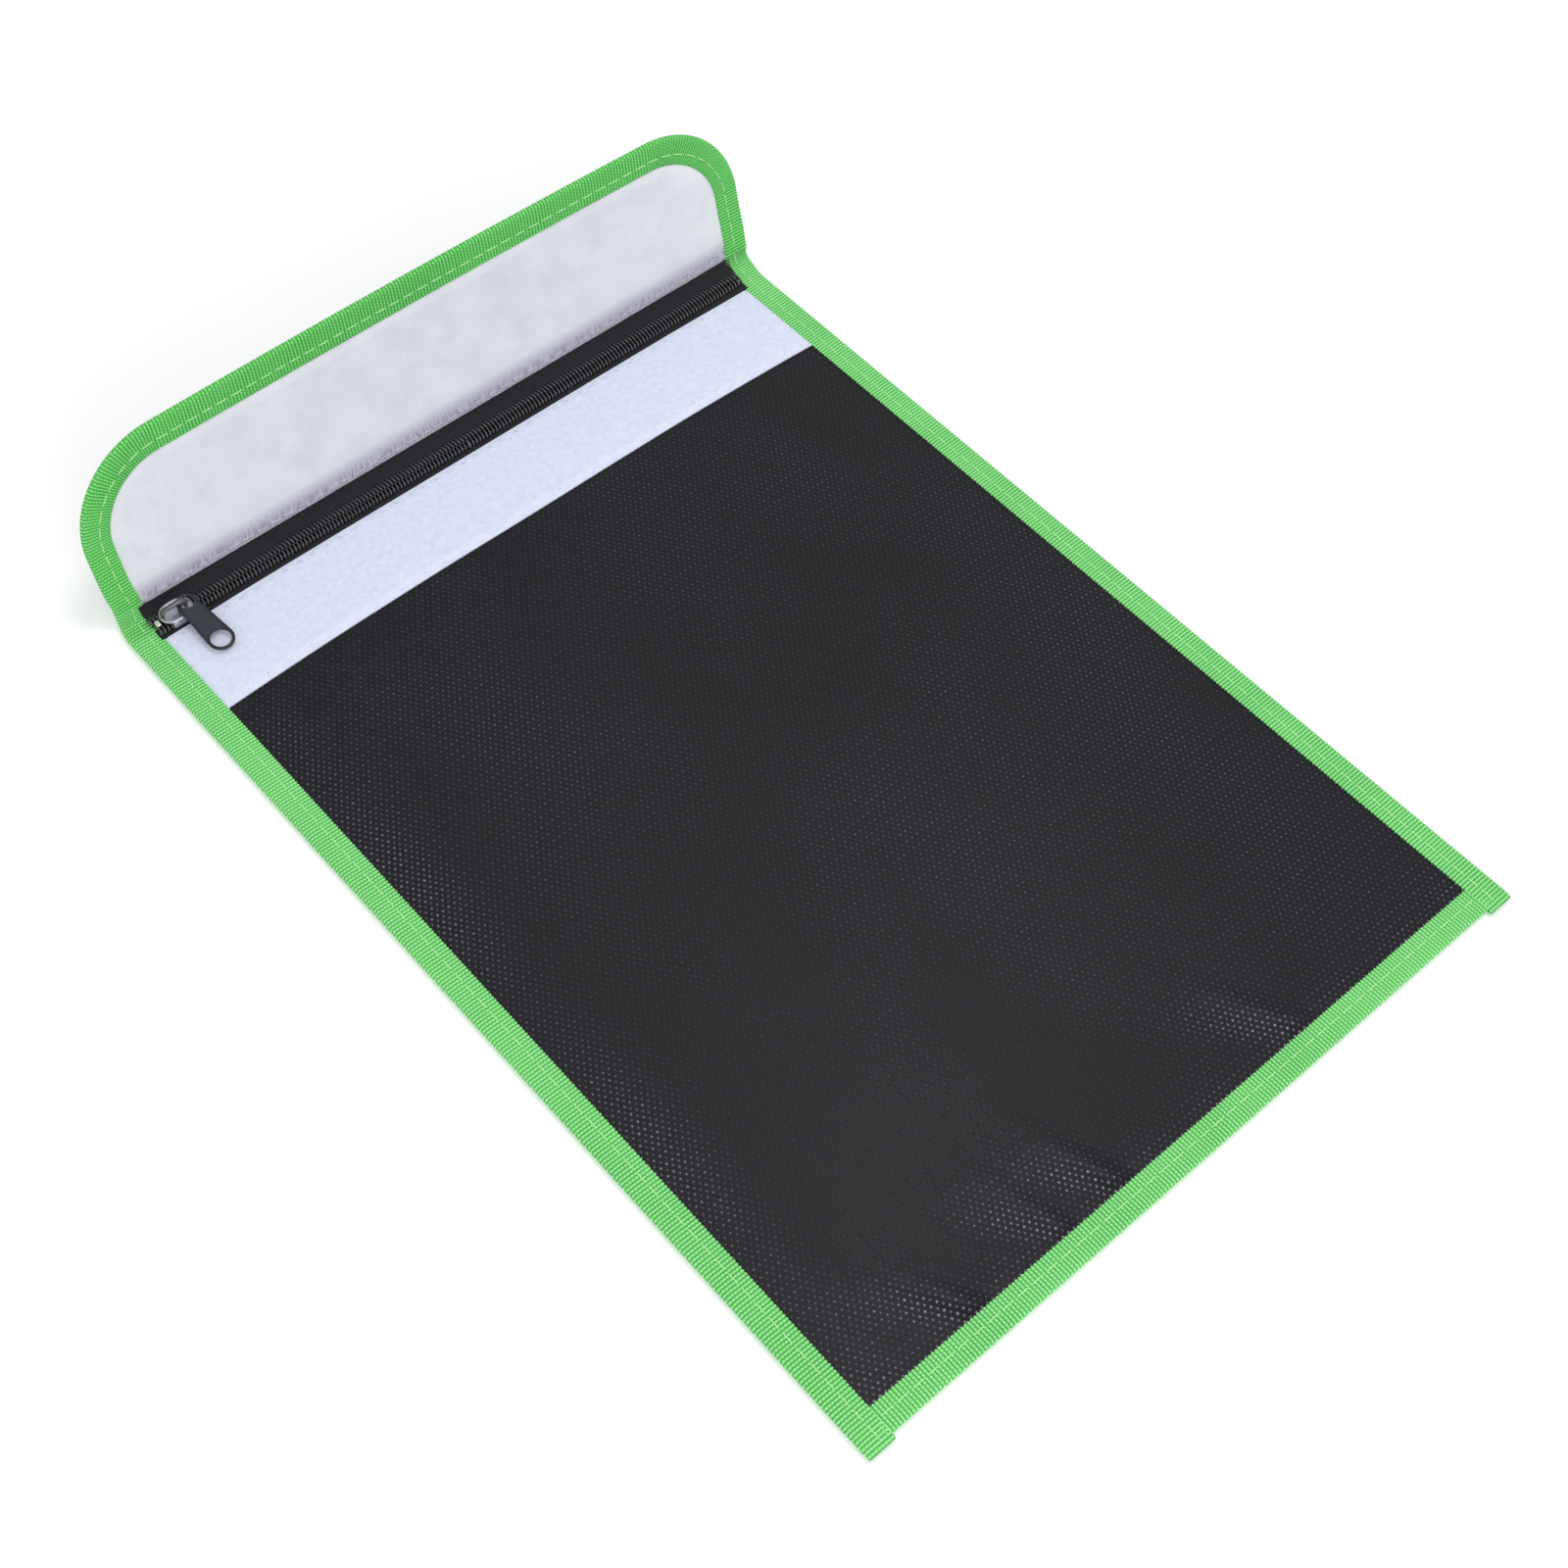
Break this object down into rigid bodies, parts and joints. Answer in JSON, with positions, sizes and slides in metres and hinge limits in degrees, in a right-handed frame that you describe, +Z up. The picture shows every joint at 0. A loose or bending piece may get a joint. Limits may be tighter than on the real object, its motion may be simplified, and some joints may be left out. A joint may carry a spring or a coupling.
{
  "type": "battery safety pouch",
  "caption": "Flat fire-resistant battery pouch with green bound edges, a zipped mouth, a hook strip and a hook-and-loop flap.",
  "frame": {"origin": "centre of the back face, on the surface that the pouch lies on", "axes": "+X along the zip, from its closed end to its open end; +Y from the bottom edge towards the flap; +Z up out of the front"},
  "size_m": [0.28, 0.3948, 0.0657],
  "materials": {
    "coated_cloth": "satin silicone-coated glass cloth",
    "inner_lining": "silver-grey lining cloth",
    "green_webbing": "bright green ribbed webbing",
    "green_thread": "pale green polyester thread",
    "hook_tape": "cool white hook tape",
    "white_thread": "white polyester thread",
    "loop_lining": "light grey brushed loop cloth",
    "zip_tape": "matt black zip tape",
    "zip_coil": "glossy black nylon coil",
    "stop_metal": "bright crimped metal",
    "slider_paint": "satin black paint on zinc"
  },
  "bodies": {
    "pouch": {"back_panel": "coated_cloth", "back_lining": "inner_lining", "front_margin_left": "coated_cloth", "front_margin_right": "coated_cloth", "binding_left": "green_webbing", "binding_right": "green_webbing", "binding_bottom": "green_webbing", "binding_stitches": "green_thread", "hook_strip_ends": "hook_tape", "zip_tape_upper": "zip_tape", "zip_tape_ends": "zip_tape", "zip_coil_upper": "zip_coil", "zip_coil_ends": "zip_coil", "zip_end_stop": "stop_metal"},
    "front_lip": {"front_panel": "coated_cloth", "front_lining": "inner_lining", "hook_strip": "hook_tape", "hook_strip_stitches": "white_thread", "zip_tape_lower": "zip_tape", "zip_coil_lower": "zip_coil"},
    "slider": {"slider_top_plate": "slider_paint", "slider_bottom_plate": "slider_paint", "slider_post": "slider_paint", "slider_crown": "slider_paint"},
    "puller": {"puller": "slider_paint"},
    "flap_wall": {"flap_wall_cloth": "coated_cloth", "flap_wall_loop": "loop_lining", "flap_wall_binding": "green_webbing", "flap_wall_stitches": "white_thread"},
    "flap": {"flap_cloth": "coated_cloth", "flap_loop": "loop_lining", "flap_binding": "green_webbing", "flap_stitches": "green_thread"}
  },
  "joints": [
    {"name": "flap_fold", "type": "hinge", "parent": "pouch", "child": "flap_wall", "pos_m": [0, 0.188, 0.0016], "axis": [-1, 0, 0], "range_deg": [-20, 77]},
    {"name": "flap_bend", "type": "hinge", "parent": "flap_wall", "child": "flap", "pos_m": [0, 0.18895, 0.01216], "axis": [-1, 0, 0], "range_deg": [-90, 0]},
    {"name": "slider_slide", "type": "slide", "parent": "pouch", "child": "slider", "axis": [1, 0, 0], "range_m": [0, 0.24]},
    {"name": "puller_swivel", "type": "hinge", "parent": "slider", "child": "puller", "pos_m": [-0.1175, 0.1776, 0.00775], "axis": [0, -0.0958, 0.9954], "range_deg": [0, 87]},
    {"name": "mouth_open", "type": "hinge", "parent": "pouch", "child": "front_lip", "pos_m": [0, -0.1796, 0.0025], "axis": [1, 0, 0], "range_deg": [0, 6]}
  ]
}
